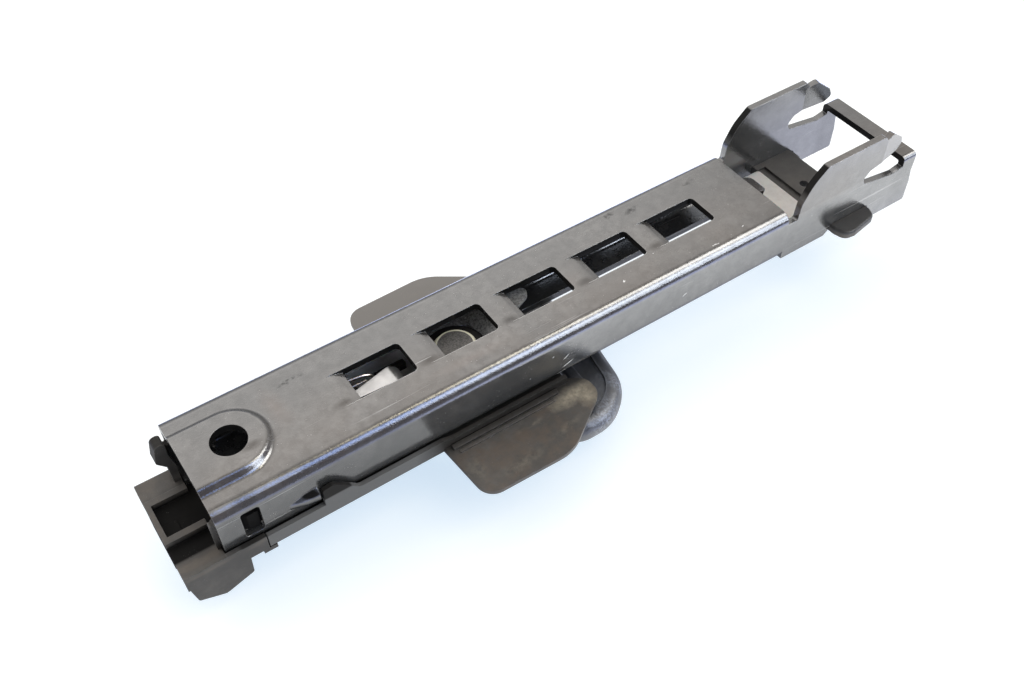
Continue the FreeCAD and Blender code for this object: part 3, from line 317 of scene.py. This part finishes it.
def plated_steel(name, level, warm, rough, grain=700.0):
    """Zinc plated steel with a cloudy plating and a slight grain."""
    t = Tree(name)
    cloud = t.noise(260.0, 5.0, 0.6)
    pits = t.times(t.ramp(t.cells(grain * 2), 0.12, 0.03), t.ramp(t.noise(500.0), 0.5, 0.7))
    colour = t.blend(t.ramp(cloud, 0.3, 0.7), grey(level * 0.82, warm), grey(level, warm * 0.5))
    colour = t.cover(colour, (pits, 0.5, grey(level * 0.25, warm)))
    bump = t.bump(t.noise(grain, 3.0), 0.25, 0.04 * MM, t.soft_edges(0.15 * MM))
    uneven = t.ramp(t.noise(400.0), 0.3, 0.7, rough * 0.8, rough * 1.3)
    t.set(Base_Color=colour, Metallic=1.0, Roughness=uneven, Normal=bump)
    return t.material


BOLT_X, BOLT_R, THREAD_ROOT = 61.5, 5.95, 5.15


def bolt_face():
    """Anchor bolt: dull speckled plating near its axis; from the thread's root outwards a pale yellowish
    colour that is a painted highlight, the bright ring of light on the thread.

    The pale tone goes by the distance from the axis alone, so the head has it too.
    """
    t = Tree("dull_plated_bolt")
    x, y, _ = t.axes()
    radius = t.distance(t.math("SUBTRACT", x, BOLT_X * MM), y)
    # Painted highlight: the pale ring on the thread, set by distance from the axis.
    crest_highlight = t.over(radius, THREAD_ROOT - 0.50, THREAD_ROOT - 0.30)
    speckle = t.noise(2600.0, 4.0, 0.75)
    clots = t.ramp(t.cells(2200.0), 0.45, 0.12)
    colour = t.blend(t.ramp(speckle, 0.35, 0.65), grey(0.035, 0.04), grey(0.17, 0.05))
    colour = t.cover(colour, (clots, 0.45, grey(0.03)))
    colour = t.blend(crest_highlight, colour, (0.92, 0.89, 0.70, 1.0))
    bump = t.bump(speckle, 0.55, 0.07 * MM, t.soft_edges(0.1 * MM))
    t.set(Base_Color=colour, Metallic=t.ramp(crest_highlight, 0.0, 1.0, 0.35, 0.15),
          Roughness=t.ramp(speckle, 0.3, 0.7, 0.38, 0.6), Normal=bump)
    return t.material


def spring_leaf():
    """Bright strip, gone dull and speckled where it has rubbed."""
    t = Tree("dull_spring_strip")
    speckle = t.noise(1500.0, 5.0, 0.75)
    colour = t.blend(t.ramp(speckle, 0.38, 0.62), grey(0.16, 0.02), grey(0.55))
    bump = t.bump(speckle, 0.3, 0.05 * MM, t.soft_edges(0.15 * MM))
    t.set(Base_Color=colour, Metallic=0.35, Roughness=0.42, Normal=bump)
    return t.material


# Plastics

POCKET_REACH = 10


def moulded(name, level, warm, rough, dust_level, dust_share, grain, grain_size, marks):
    """Moulded plastic with a fine spark grain, scuffs and settled dust, and painted shade, near black with
    little reflection, in its corners and pockets and wherever its marks put it.
    """
    t = Tree(name)
    mottle = t.noise(420.0, 5.0, 0.65)
    dust = t.times(t.ramp(t.noise(45.0, 6.0, 0.65), 0.42, 0.75), dust_share,
                   t.ramp(mottle, 0.35, 0.6, 0.55, 1.0))
    fine = t.times(t.ramp(t.cells(1300.0), 0.14, 0.04), t.ramp(t.noise(190.0), 0.5, 0.66))
    # Painted shade: ambient occlusion within POCKET_REACH turns the corners and pockets near black and takes
    # their reflection away.
    open_sky = t.add("AmbientOcclusion", {"Distance": POCKET_REACH * MM}, samples=4).outputs["AO"]
    colour, marks_shade = marks(t, t.blend(dust, grey(level, warm), grey(dust_level, 0.08)))
    painted_shade = t.most(t.ramp(open_sky, 0.50, 0.15), marks_shade)
    colour = t.cover(colour, (painted_shade, 0.9, grey(0.006)), (fine, 0.35, grey(0.45, 0.04)))
    edges = t.times(t.worn_edges(0.4 * MM), t.ramp(mottle, 0.35, 0.6, 0.15, 0.5),
                    t.ramp(painted_shade, 0.0, 0.6, 1.0, 0.1))
    colour = t.blend(edges, colour, grey(dust_level * 1.5, 0.03))
    bump = t.bump(t.noise(1.0 / grain_size, 3.0, 0.6), grain, 0.06 * MM, t.soft_edges(0.25 * MM))
    t.set(Base_Color=colour, Roughness=t.ramp(t.noise(90.0, 4.0), 0.3, 0.7, rough * 0.85, rough * 1.15),
          IOR=1.5, Specular_IOR_Level=t.ramp(painted_shade, 0.0, 1.0, 0.42, 0.03), Normal=bump)
    return t.material


WING_Z, MARK_DEPTH = -17.3, 3.0
GOLD_DUST = [((x, y, WING_Z), (length, width, MARK_DEPTH), turn) for x, y, length, width, turn in (
    (83.0, -22.4, 9.0, 3.2, 0.12), (86.0, -24.3, 4.0, 4.4, 0.0))]
WING_RUBS = [((x, y, WING_Z), (length, width, MARK_DEPTH), turn) for x, y, length, width, turn in (
    (69.0, -24.4, 6.5, 0.9, 0.05), (49.5, -28.0, 3.4, 5.0, -0.2),
    (60.0, -32.5, 9.0, 2.4, 0.05), (76.0, -30.0, 7.0, 1.2, 0.2))]


def wing_marks(t, colour):
    """Golden dust by the wing's upper corner, pale rubs along it and brown mottling by its root; painted
    light on the left end of the cover's side wall, painted shade at the wing's root and above it, and a
    lighter far wing.
    """
    x, y, z = t.axes()
    torn = t.ragged(2.6, 420.0)
    gold = t.times(t.spots(GOLD_DUST, vector=torn, axis="Z", core=0.0),
                   t.ramp(t.noise(800.0, 4.0, 0.7), 0.3, 0.6, 0.45, 1.0))
    rubs = t.times(t.spots(WING_RUBS, vector=torn, axis="Z", core=0.0),
                   t.ramp(t.noise(500.0, 5.0, 0.7), 0.4, 0.62))
    rust = t.times(t.ramp(t.noise(150.0, 5.0, 0.7), 0.45, 0.65), t.over(y, -20, -23))
    # Painted light: the cover's side wall beside the rail is painted light grey at its left end.
    side_wall_light = t.times(t.over(t.size(y), 19.6, 19.2), t.over(t.size(y), 15, 16),
                        t.times(t.over(x, 46, 38), t.over(z, -11.6, -12.2)))
    colour = t.cover(colour, (rust, 0.5, (0.120, 0.085, 0.060, 1.0)), (rubs, 0.40, (0.26, 0.225, 0.17, 1.0)),
                     (gold, 0.85, (0.50, 0.44, 0.33, 1.0)), (side_wall_light, 0.85, grey(0.34)))
    # Painted shade at the wing's root beside the rail, and on everything above about z -12 mm, under the
    # rail.
    root = t.times(t.over(y, -21.2, -18.6), t.over(y, -14, -17))
    marks_shade = t.most(t.times(root, 0.6), t.times(t.over(z, -12.4, -11.6), 0.8))
    # The far wing is painted a lighter grey.
    return t.blend(t.over(y, 17, 22, 0.0, 0.55), colour, grey(0.28, 0.05)), marks_shade


def deep_shade(t, colour):
    """Painted shade, near black, in the well of the top guide, on its clip arm and on its hook post; a dusty
    ledge, and the bottom stop's dark lugs.
    """
    x, y, z = t.axes()
    # Painted shade where the top guide lies deep: its well, the arm in the clip hole and the hook post.
    well = t.times(t.over(z, -15.0, -15.9), t.over(t.size(y), 12.6, 11.6), t.over(z, -26.5, -25.0))
    arm = t.times(t.over(t.size(y), 13.6, 14.2), t.over(z, -14.0, -13.4), t.over(x, -9.0, -8.0))
    post = t.times(t.over(y, 8, 9), t.over(z, -13.0, -11.0), 0.8)
    painted_shade = t.times(t.most(well, arm, post), t.over(x, 12, 8))
    lug = t.times(t.over(t.size(y), 16.8, 17.4), t.over(x, 170, 172))
    ledge = t.times(t.over(z, -15.6, -14.9), t.ramp(t.noise(160.0, 5.0), 0.35, 0.6), t.over(z, -13.6, -14.4))
    colour = t.cover(colour, (lug, 0.5, grey(0.032, -0.03)), (ledge, 0.35, (0.20, 0.165, 0.13, 1.0)))
    return colour, painted_shade


# Patches of painted sheen on the belt guide.
SHEEN_PATCHES = [((88.0, -30.0, -22.5), (8.0, 5.0, 6.0), 0.6), ((96.5, -24.0, -22.5), (3.0, 7.0, 6.0), 0.2)]


def leather_grain():
    """Black belt guide moulding with a pebbled grain, scuffs and worn edges, and a painted cool sheen: bluish
    light painted on the pebble tips at its lower right.
    """
    t = Tree("pebbled_black_plastic")
    scuff = t.ramp(t.noise(70.0, 6.0, 0.7), 0.45, 0.72)
    # Painted sheen: bluish light painted on the pebble tips in two patches at the lower right.
    painted_sheen = t.spots(SHEEN_PATCHES, vector=t.ragged(3.0, 300.0), axis="Z", core=0.1)
    tips = t.times(t.ramp(t.noise(1500.0, 4.0, 0.7), 0.42, 0.60),
                   t.ramp(t.noise(500.0, 4.0), 0.30, 0.55, 0.3, 1.0))
    edges = t.times(t.worn_edges(0.9 * MM), t.ramp(t.noise(300.0, 5.0), 0.34, 0.56))
    colour = t.cover((0.034, 0.036, 0.042, 1.0), (scuff, 0.5, (0.13, 0.135, 0.15, 1.0)),
                     (t.times(painted_sheen, tips), 0.8, (0.34, 0.37, 0.46, 1.0)),
                     (edges, 0.4, (0.30, 0.31, 0.34, 1.0)))
    bump = t.bump(t.cells(1050.0, "SMOOTH_F1"), 0.6, 0.11 * MM, t.soft_edges(0.3 * MM))
    t.set(Base_Color=colour, Roughness=t.ramp(scuff, 0.0, 1.0, 0.36, 0.5), IOR=1.75, Normal=bump)
    return t.material


def acetal(name, level, warm):
    """Natural acetal: pale, waxy and slightly see-through."""
    t = Tree(name)
    stain = t.ramp(t.noise(120.0, 5.0, 0.7), 0.45, 0.8)
    colour = t.blend(stain, grey(level, warm), grey(level * 0.72, warm * 2))
    bump = t.bump(t.noise(900.0, 2.0), 0.12, 0.03 * MM, t.soft_edges(0.3 * MM))
    t.set(Base_Color=colour, Roughness=0.38, Subsurface_Weight=0.15, Subsurface_Scale=1.5 * MM,
          IOR=1.48, Normal=bump)
    return t.material


FINISHES = {
    "rail_steel": coated_steel(),
    "zinc_steel": plated_steel("bright_zinc", level=0.62, warm=0.01, rough=0.42),
    "dark_steel": plated_steel("phosphated_steel", level=0.045, warm=0.05, rough=0.55),
    "spring_steel": spring_leaf(),
    "spring_wire": plated_steel("yellow_plated_wire", level=0.68, warm=0.14, rough=0.28),
    "bolt_steel": bolt_face(),
    "black_plastic": moulded("matt_black_plastic", level=0.062, warm=0.06, rough=0.52, dust_level=0.15,
                             dust_share=0.7, grain=0.22, grain_size=0.45 * MM, marks=deep_shade),
    "grey_plastic": moulded("matt_grey_plastic", level=0.052, warm=0.10, rough=0.46, dust_level=0.13,
                            dust_share=0.8, grain=0.20, grain_size=0.4 * MM, marks=wing_marks),
    "shoe_plastic": acetal("pale_acetal", level=0.42, warm=0.02),
    "natural_plastic": acetal("natural_acetal", level=0.72, warm=0.035),
    "black_textured": leather_grain(),
}


# Pieces

NODE_SHARP, BOLT_SHARP = math.radians(24), math.radians(30)


def finish_node(name, slot):
    """Gives a CAD node its finish and smooth shading over its round faces."""
    mesh = nodes[name].data
    mesh.materials.clear()
    mesh.materials.append(FINISHES[slot])
    mesh.shade_smooth()
    mesh.set_sharp_from_angle(angle=NODE_SHARP)


for part in frame["record"]["subparts"]:
    finish_node(part["node"], part["material_slot"])


def add_piece(name, mesh, slot, body, stands_for):
    """Puts a mesh in the scene as a piece that rides on a body and stands for a CAD node."""
    mesh.materials.clear()
    mesh.materials.append(FINISHES[slot])
    piece = bpy.data.objects.new(name, mesh)
    bpy.context.scene.collection.objects.link(piece)
    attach(piece, body)
    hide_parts(stands_for)


BOLT_END, THREAD_FROM, THREAD_PITCH = -4.8, -8.6, 1.25
BOLT_SIDES, THREAD_LEVELS = 96, 48
WELD_DISTANCE = 1e-6
END_RINGS = ((0.9, 0.0), (0.6, 0.05), (0.3, 0.08))


def thread_radius(turn, z):
    """Radius of the bolt's thread at a height, with the chamfer that ends it (millimetres)."""
    place = (z / THREAD_PITCH - turn) % 1.0
    ridge = 1.0 - abs(2.0 * place - 1.0)
    depth = BOLT_R - THREAD_ROOT
    radius = BOLT_R - depth * max(0.0, min(1.0, 1.25 * ridge - 0.05))
    return min(radius, THREAD_ROOT - 0.05 + 1.15 * (BOLT_END - z))


def bolt_ring(bm, radii, z):
    """Corners of one ring round the bolt, from its radii at equal turns and its height."""
    ring = []
    for i, radius in enumerate(radii):
        angle = 2 * math.pi * i / BOLT_SIDES
        x, y = BOLT_X + radius * math.cos(angle), radius * math.sin(angle)
        ring.append(bm.verts.new((x * MM, y * MM, z * MM)))
    return ring


def join_rings(bm, ring, following):
    """A band of faces between two rings."""
    for i in range(BOLT_SIDES):
        k = (i + 1) % BOLT_SIDES
        bm.faces.new((ring[i], ring[k], following[k], following[i]))


def threaded_bolt():
    """The anchor bolt with its real thread showing at the end past the nut."""
    bm = bmesh.new()
    bm.from_mesh(nodes["anchor_bolt"].data)
    bmesh.ops.remove_doubles(bm, verts=bm.verts, dist=WELD_DISTANCE)
    everything = list(bm.verts) + list(bm.edges) + list(bm.faces)
    bmesh.ops.bisect_plane(bm, geom=everything, plane_co=(0, 0, THREAD_FROM * MM), plane_no=(0, 0, 1),
                           clear_outer=True)
    rings = []
    for j in range(THREAD_LEVELS + 1):
        z = THREAD_FROM + (BOLT_END - THREAD_FROM) * j / THREAD_LEVELS
        rings.append(bolt_ring(bm, [thread_radius(i / BOLT_SIDES, z) for i in range(BOLT_SIDES)], z))
    for below, above in zip(rings[:-1], rings[1:]):
        join_rings(bm, below, above)
    inner = rings[-1]
    for share, drop in END_RINGS:
        ring = bolt_ring(bm, [THREAD_ROOT * share] * BOLT_SIDES, BOLT_END - drop)
        join_rings(bm, inner, ring)
        inner = ring
    bm.faces.new(inner)
    mesh = bpy.data.meshes.new("threaded_anchor_bolt")
    bm.to_mesh(mesh)
    bm.free()
    mesh.shade_smooth()
    mesh.set_sharp_from_angle(angle=BOLT_SHARP)
    add_piece("threaded_anchor_bolt", mesh, "bolt_steel", "carriage", "anchor_bolt")


PIVOT = (29.5, -8.0)
COIL_RING, COIL_TURNS, COIL_STEPS = 2.8, 1.5, 36
WIRE_R, WIRE_SIDES = 0.45, 16
SPRING_INNER, SPRING_OUTER = 4.8, 7.2
PLATE_TOP, LOOP_Z, LEVER_HALF = -10.6, -10.3, 2.7


def spring_side(sign):
    """Centre line of one half of the latch spring: foot, coil and the leg to the loop under the tooth."""
    px, pz = PIVOT
    y_out, y_in = SPRING_OUTER - WIRE_R, SPRING_INNER + WIRE_R
    foot = PLATE_TOP + WIRE_R + 0.05
    beside = LEVER_HALF + 2 * WIRE_R
    points = [(px + 9.0, y_out, foot), (px + 7.0, y_out, foot + 0.05), (px + 5.3, y_out, foot + 0.15),
              (px + 2.4, y_out, pz - COIL_RING + 0.1)]
    for i in range(COIL_STEPS + 1):
        angle = -0.5 * math.pi - 2 * COIL_TURNS * math.pi * i / COIL_STEPS
        y = y_out + (y_in - y_out) * i / COIL_STEPS
        points.append((px + COIL_RING * math.cos(angle), y, pz + COIL_RING * math.sin(angle)))
    points += [(px + 2.0, y_in, pz + COIL_RING + 0.1), (px + 3.8, y_in, pz + 3.0),
               (px + 9.4, beside + 0.6, pz + 3.0), (px + 10.2, beside + 0.55, pz),
               (px + 11.0, beside + 0.5, LOOP_Z), (px + 11.2, beside - 0.6, LOOP_Z)]
    return [(x, sign * y, z) for x, y, z in points]


def wire_tree():
    """Geometry nodes that sweep a round wire along the curve they are given."""
    tree = bpy.data.node_groups.new("swept_wire", "GeometryNodeTree")
    face = tree.interface
    face.new_socket("Geometry", in_out="INPUT", socket_type="NodeSocketGeometry")
    radius = face.new_socket("Wire radius", in_out="INPUT", socket_type="NodeSocketFloat")
    sides = face.new_socket("Sides", in_out="INPUT", socket_type="NodeSocketInt")
    finish = face.new_socket("Finish", in_out="INPUT", socket_type="NodeSocketMaterial")
    face.new_socket("Geometry", in_out="OUTPUT", socket_type="NodeSocketGeometry")
    inputs, outputs = tree.nodes.new("NodeGroupInput"), tree.nodes.new("NodeGroupOutput")
    ring = tree.nodes.new("GeometryNodeCurvePrimitiveCircle")
    sweep = tree.nodes.new("GeometryNodeCurveToMesh")
    sweep.inputs["Fill Caps"].default_value = True
    real = tree.nodes.new("GeometryNodeRealizeInstances")
    paint = tree.nodes.new("GeometryNodeSetMaterial")
    join = tree.links.new
    join(inputs.outputs["Wire radius"], ring.inputs["Radius"])
    join(inputs.outputs["Sides"], ring.inputs["Resolution"])
    join(inputs.outputs["Geometry"], sweep.inputs["Curve"])
    join(ring.outputs["Curve"], sweep.inputs["Profile Curve"])
    join(sweep.outputs["Mesh"], real.inputs["Geometry"])
    join(real.outputs["Geometry"], paint.inputs["Geometry"])
    join(inputs.outputs["Finish"], paint.inputs["Material"])
    join(paint.outputs["Geometry"], outputs.inputs["Geometry"])
    return tree, radius.identifier, sides.identifier, finish.identifier


def wound_spring():
    """Latch spring: one wire from foot to foot, with a coil on each side of the pin."""
    route = spring_side(-1) + spring_side(1)[::-1]
    data = bpy.data.curves.new("latch_spring_route", "CURVE")
    data.dimensions = "3D"
    spline = data.splines.new("NURBS")
    spline.points.add(len(route) - 1)
    for point, (x, y, z) in zip(spline.points, route):
        point.co = (x * MM, y * MM, z * MM, 1.0)
    spline.order_u = 3
    spline.use_endpoint_u = True
    data.resolution_u = 6
    holder = bpy.data.objects.new("latch_spring_route", data)
    bpy.context.scene.collection.objects.link(holder)
    tree, radius, sides, finish = wire_tree()
    sweep = holder.modifiers.new("swept_wire", "NODES")
    sweep.node_group = tree
    sweep[radius] = WIRE_R * MM
    sweep[sides] = WIRE_SIDES
    sweep[finish] = FINISHES["spring_wire"]
    seen = holder.evaluated_get(bpy.context.evaluated_depsgraph_get())
    mesh = bpy.data.meshes.new_from_object(seen)
    holder.modifiers.clear()
    bpy.data.objects.remove(holder)
    mesh.name = "wound_latch_spring"
    mesh.shade_smooth()
    add_piece("wound_latch_spring", mesh, "spring_wire", "carriage", "latch_spring")


threaded_bolt()
wound_spring()


# Floor

FLOOR_SIZE, FLOOR_X, FLOOR_DROP = 6, 0.08, 0.0004
TABLE_COLOUR, TABLE_GLOW = (0.62, 0.50, 0.34, 1), (0.535, 0.69, 0.86, 1)


def table_glow(t):
    """How bright the table is in glossy pieces: a painted shadow keeps it dim under the rail, and it is white
    beside it and painted brighter past its ends.
    """
    x, y, _ = t.axes()
    off = t.size(y)
    glow = t.math("ADD", t.over(off, 15, 25, 0.55, 1.0), t.over(off, 26, 38, 0.0, 0.9))
    glow = t.math("ADD", glow, t.over(off, 38, 60, 0.0, 0.65))
    glow = t.times(glow, t.over(x, -35, 12, 0.50, 1.0))
    past_ends = t.most(t.over(x, -115, -125), t.over(x, 112, 124))
    glow = t.times(t.most(glow, t.times(past_ends, 2.0)), t.over(off, 110, 150, 1.0, 0.16),
                   t.over(x, 140, 200, 1.0, 1.18))
    tint = t.blend(t.over(off, 16, 30), (0.82, 0.85, 1.0, 1), (0.96, 0.98, 1.0, 1))
    tint = t.blend(t.over(off, 48, 75), tint, (0.66, 0.74, 1.10, 1))
    return t.add("Emission", {"Color": tint, "Strength": glow}).outputs[0]


def floor():
    """White table with a light-blue shadow, another brightness for glossy rays that carries a painted shadow
    under the rail, and clear from below.
    """
    bpy.ops.mesh.primitive_plane_add(size=FLOOR_SIZE, location=(FLOOR_X, 0, cad_box[0][2] - FLOOR_DROP))
    plane = bpy.context.object
    plane.name = "floor"
    t = Tree("white_table")
    t.set(Base_Color=TABLE_COLOUR, Roughness=0.7)
    ambient = t.add("Emission", {"Color": TABLE_GLOW, "Strength": 0.95}).outputs[0]
    seen = t.add("AddShader", {0: t.shader.outputs[0], 1: ambient}).outputs[0]
    glossy = t.add("LightPath").outputs["Is Glossy Ray"]
    above = t.add("MixShader", {0: glossy, 1: seen, 2: table_glow(t)}).outputs[0]
    clear = t.add("BsdfTransparent").outputs[0]
    sided = t.add("MixShader", {0: t.add("NewGeometry").outputs["Backfacing"], 1: above, 2: clear}).outputs[0]
    t.put(t.tree.nodes["Material Output"].inputs["Surface"], sided)
    plane.data.materials.append(t.material)


# Light

SLOPES_FROM = 0.27
WALL, WALL_BLUE, WALL_SEEN, WALL_FAR = grey(0.50, -0.02), (0.12, 0.14, 0.22, 1), grey(0.55), grey(0.62)
PANE_BLUE, PANE_WHITE, PANE_DULL = (1.5, 2.3, 4.8, 1), (6.6, 7.2, 8.2, 1), (1.9, 2.1, 2.4, 1)
LAMP_WARM, LAMP_WHITE, LAMP_DULL = (7.0, 6.4, 4.8, 1), (7.4, 7.3, 7.1, 1), (2.6, 2.4, 2.0, 1)


class Sky(Tree):
    """The studio round the object, placed by direction: how far down the rail, and how far round it."""

    def __init__(self):
        world = bpy.data.worlds.new("studio")
        bpy.context.scene.world = world
        world.use_nodes = True
        self.tree = world.node_tree
        self.shader = self.tree.nodes["Background"]
        self.coords = self.tree.nodes.new("ShaderNodeTexCoord").outputs["Generated"]
        x, y, z = self.axes()
        self.down_rail = x
        turn = self.math("ARCTAN2", self.times(y, -1.0), z)
        self.round_rail = self.times(turn, 180 / math.pi)

    def band(self, low, high, soft):
        """Share of a strip that runs down the rail, between two angles round it in degrees."""
        rise = self.ramp(self.math("SUBTRACT", self.round_rail, low), -soft, soft)
        fall = self.ramp(self.math("SUBTRACT", high, self.round_rail), -soft, soft)
        return self.times(rise, fall)

    def along(self, start, slope, lowest, highest):
        """An angle that grows down the rail and is start degrees at SLOPES_FROM."""
        return self.ramp(self.down_rail, lowest, highest,
                         start + slope * (lowest - SLOPES_FROM), start + slope * (highest - SLOPES_FROM))


def sky():
    """Grey ceiling behind, a thin warm lamp overhead, and a window in front that turns from blue to white."""
    t = Sky()
    down, turn = t.down_rail, t.round_rail
    glossy = t.add("LightPath").outputs["Is Glossy Ray"]
    walls = t.blend(glossy, WALL_SEEN, t.blend(t.ramp(turn, 20.0, 40.0), WALL, WALL_BLUE))
    walls = t.blend(t.ramp(turn, -58.0, -95.0), walls, WALL_FAR)

    ceiling = t.times(t.band(-66.0, -14.0, 10.0), t.ramp(down, 0.95, 0.70))
    level = t.times(t.ramp(turn, -31.0, -44.0, 1.44, 1.85), t.ramp(down, 0.40, 0.64, 1.0, 0.74))
    overhead = t.add("CombineXYZ", {0: t.times(level, 1.03), 1: level, 2: t.times(level, 0.97)}).outputs[0]
    colour = t.blend(ceiling, walls, overhead)

    window = t.band(t.along(26.0, 50.0, 0.0, 0.6), t.along(52.0, 90.0, 0.0, 0.6), 2.0)
    mullion = t.band(t.along(40.0, 75.0, 0.0, 0.6), t.along(45.0, 75.0, 0.0, 0.6), 1.0)
    window = t.times(window, t.math("SUBTRACT", 1.0, t.times(mullion, t.ramp(down, 0.38, 0.45))))
    shown = t.times(t.ramp(down, 0.80, 0.66), t.ramp(down, 0.05, 0.15))
    pane = t.blend(glossy, PANE_DULL, t.blend(t.ramp(down, 0.20, 0.42), PANE_BLUE, PANE_WHITE))
    colour = t.blend(t.times(window, shown), colour, pane)

    lamp = t.band(t.along(2.0, 13.0, 0.1, 0.6), t.along(8.0, 87.0, 0.27, 0.6), 1.2)
    lamp = t.times(lamp, t.times(t.ramp(down, 0.14, 0.26), t.ramp(down, 0.98, 0.8)))
    lit = t.blend(glossy, LAMP_DULL, t.blend(t.ramp(down, 0.30, 0.48), LAMP_WARM, LAMP_WHITE))
    colour = t.blend(lamp, colour, lit)
    t.put(t.shader.inputs["Color"], colour)
    t.put(t.shader.inputs["Strength"], 1.0)


# Camera

SENSOR, PHOTO_WIDTH, FOCAL_PIXELS = 36.0, 1024, 1085.4154
CAMERA_PLACE = (-27.170, -160.181, 205.017)
CAMERA_RIGHT = (0.8280383, -0.5606011, -0.0088887)
CAMERA_UP = (0.4265112, 0.6195315, 0.6589908)
CAMERA_BACK = (-0.3639241, -0.5494608, 0.7520984)


def camera():
    """The photograph's viewing angle."""
    data = bpy.data.cameras.new("camera")
    data.sensor_width = SENSOR
    data.lens = FOCAL_PIXELS / PHOTO_WIDTH * SENSOR
    data.clip_start, data.clip_end = 0.01, 20
    cam = bpy.data.objects.new("camera", data)
    bpy.context.scene.collection.objects.link(cam)
    turn = Matrix((CAMERA_RIGHT, CAMERA_UP, CAMERA_BACK)).transposed().to_4x4()
    cam.matrix_world = Matrix.Translation(Vector(CAMERA_PLACE) * MM) @ turn
    bpy.context.scene.camera = cam


floor()
sky()
camera()
scene = bpy.context.scene
scene.view_settings.view_transform = "Standard"
